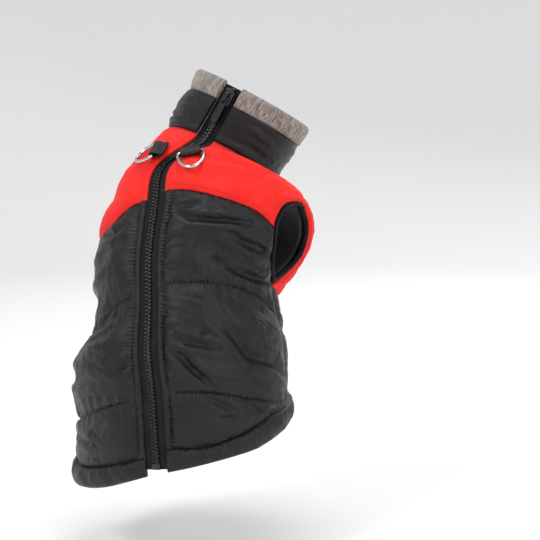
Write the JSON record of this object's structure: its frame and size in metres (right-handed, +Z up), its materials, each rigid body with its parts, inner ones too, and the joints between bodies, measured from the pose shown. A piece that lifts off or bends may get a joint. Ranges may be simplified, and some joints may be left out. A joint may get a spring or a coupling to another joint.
{
  "type": "padded dog jacket",
  "caption": "Sleeveless padded dog jacket, red shoulders over black quilting, full back zip, leash rings and a tall collar, shown worn and hollow.",
  "frame": {"origin": "At the withers, just inside the back of the jacket under the zip, where the wearer's back carries it.", "axes": "+X is the wearer's right side, +Y the chest and belly side, -Y the back with the zip, +Z up towards the collar."},
  "size_m": [0.1967, 0.2142, 0.3556],
  "materials": {
    "nylon": "black quilted nylon with a soft sheen",
    "red_softshell": "bright red matte softshell",
    "black_fleece": "black brushed fleece lining",
    "grey_fleece": "grey heathered fleece",
    "black_tape": "black woven tape and webbing",
    "moulded_zip": "glossy black moulded plastic",
    "chrome_ring": "bright chrome wire"
  },
  "bodies": {
    "jacket": {"body_left": "nylon", "body_right": "nylon", "belly_panel": "nylon", "hem_left": "nylon", "hem_right": "nylon", "hem_belly": "nylon", "yoke_left": "red_softshell", "yoke_right": "red_softshell", "chest_panel": "red_softshell", "lining_left": "black_fleece", "lining_right": "black_fleece", "lining_front": "black_fleece", "collar_stand": "nylon", "collar_facing": "grey_fleece", "zip_tape_left": "black_tape", "zip_tape_right": "black_tape", "zip_chain": "moulded_zip", "zip_slider": "moulded_zip", "webbing_left": "black_tape", "webbing_right": "black_tape", "armhole_binding_left": "black_tape", "armhole_binding_right": "black_tape"},
    "ring_left": {"d_ring_left": "chrome_ring"},
    "ring_right": {"d_ring_right": "chrome_ring"},
    "pull_tab": {"zip_pull": "moulded_zip"}
  },
  "joints": [
    {"name": "ring_left_swing", "type": "hinge", "parent": "jacket", "child": "ring_left", "pos_m": [-0.02307, 0.01361, 0.02773], "axis": [-0.119, 0.8252, 0.5522], "range_deg": [0, 120]},
    {"name": "ring_right_swing", "type": "hinge", "parent": "jacket", "child": "ring_right", "pos_m": [0.01403, 0.00911, 0.02635], "axis": [-0.8848, -0.4342, -0.1689], "range_deg": [0, 120]},
    {"name": "pull_tab_swing", "type": "hinge", "parent": "jacket", "child": "pull_tab", "pos_m": [0.02732, 0.04808, 0.07217], "axis": [-0.8658, 0.0081, 0.5003], "range_deg": [0, 150]}
  ]
}
